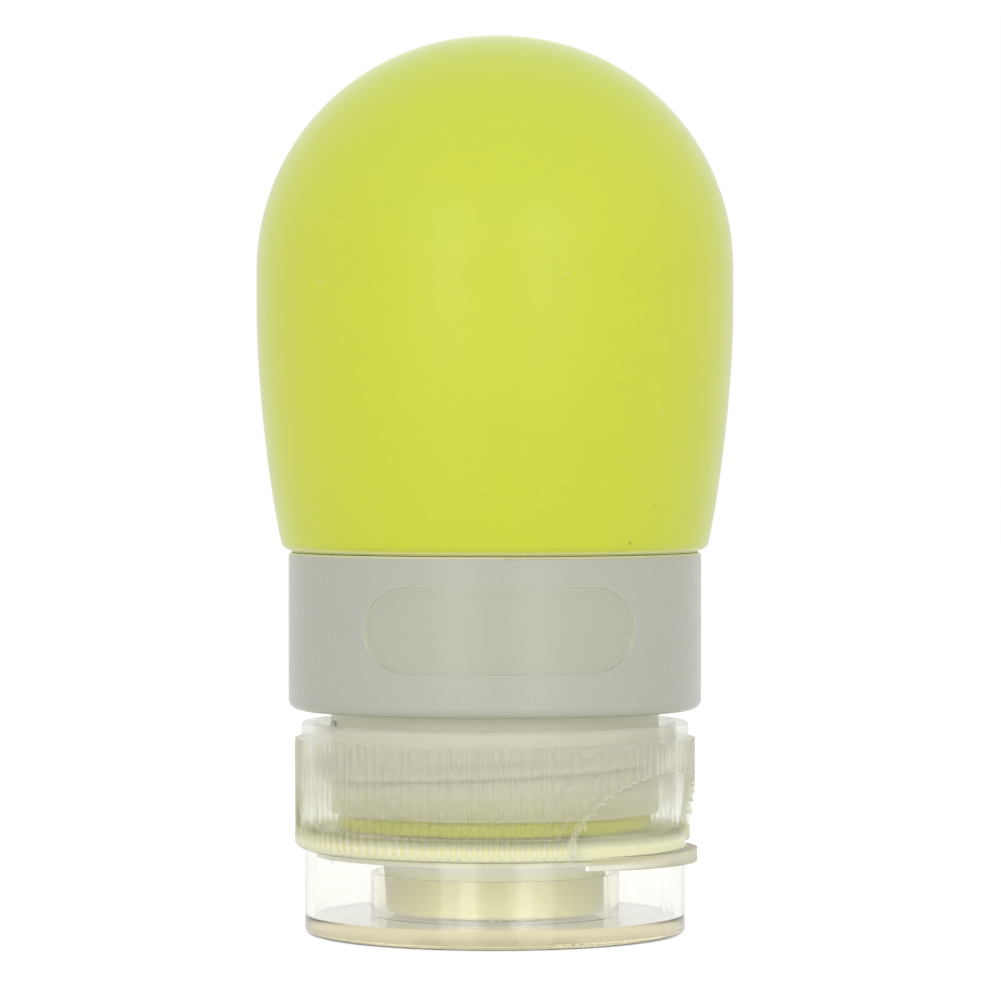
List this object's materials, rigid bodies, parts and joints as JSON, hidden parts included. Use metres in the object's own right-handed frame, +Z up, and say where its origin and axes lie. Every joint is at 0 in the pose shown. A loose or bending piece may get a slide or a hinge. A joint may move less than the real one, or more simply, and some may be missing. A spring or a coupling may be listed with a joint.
{
  "type": "travel squeeze bottle",
  "caption": "Small silicone squeeze bottle standing on its cap: a soft dome, a dial collar with a label window, a ribbed screw cap with a slit valve spout and a clear flip lid.",
  "frame": {"origin": "centre of the lid's flat base, on which the bottle stands", "axes": "+Z up along the bottle's axis from the lid to the dome, -Y out of the dial window, +X to the right of it"},
  "size_m": [0.0427, 0.0426, 0.0803],
  "materials": {
    "lime_silicone": "soft translucent lime silicone with a matt touch",
    "milky_neck": "natural translucent moulded plastic",
    "label_sleeve": "plain matt sleeve",
    "frosted_collar": "frosted grey translucent plastic with a smooth window",
    "milky_cap": "milky natural plastic with fine grip ribs",
    "valve_silicone": "clear soft silicone",
    "clear_lid": "clear glossy plastic with a faint warm tint"
  },
  "bodies": {
    "vessel": {"silicone_body": "lime_silicone", "neck_ring": "milky_neck", "label_ring": "label_sleeve"},
    "dial": {"id_collar": "frosted_collar"},
    "valve": {"spout_valve": "valve_silicone", "valve_retainer": "milky_neck"},
    "cap": {"cap_base": "milky_cap"},
    "lid": {"lid": "clear_lid"}
  },
  "joints": [
    {"name": "dial_turn", "type": "hinge", "parent": "vessel", "child": "dial", "pos_m": [0, 0, 0.0268], "axis": [0, 0, 1], "continuous": true},
    {"name": "cap_travel", "type": "slide", "parent": "vessel", "child": "valve", "axis": [0, 0, -1], "range_m": [0, 0.0063]},
    {"name": "cap_turn", "type": "hinge", "parent": "valve", "child": "cap", "pos_m": [0, 0, 0.0129], "axis": [0, 0, -1], "range_deg": [0, 540]},
    {"name": "lid_flip", "type": "hinge", "parent": "cap", "child": "lid", "pos_m": [-0.01523, 0.0081, 0.00766], "axis": [0.4695, 0.8829, 0], "range_deg": [0, 120]}
  ],
  "couplings": [
    {"joint": "cap_travel", "follows": "cap_turn", "m_per_rad": 0.00066845}
  ]
}
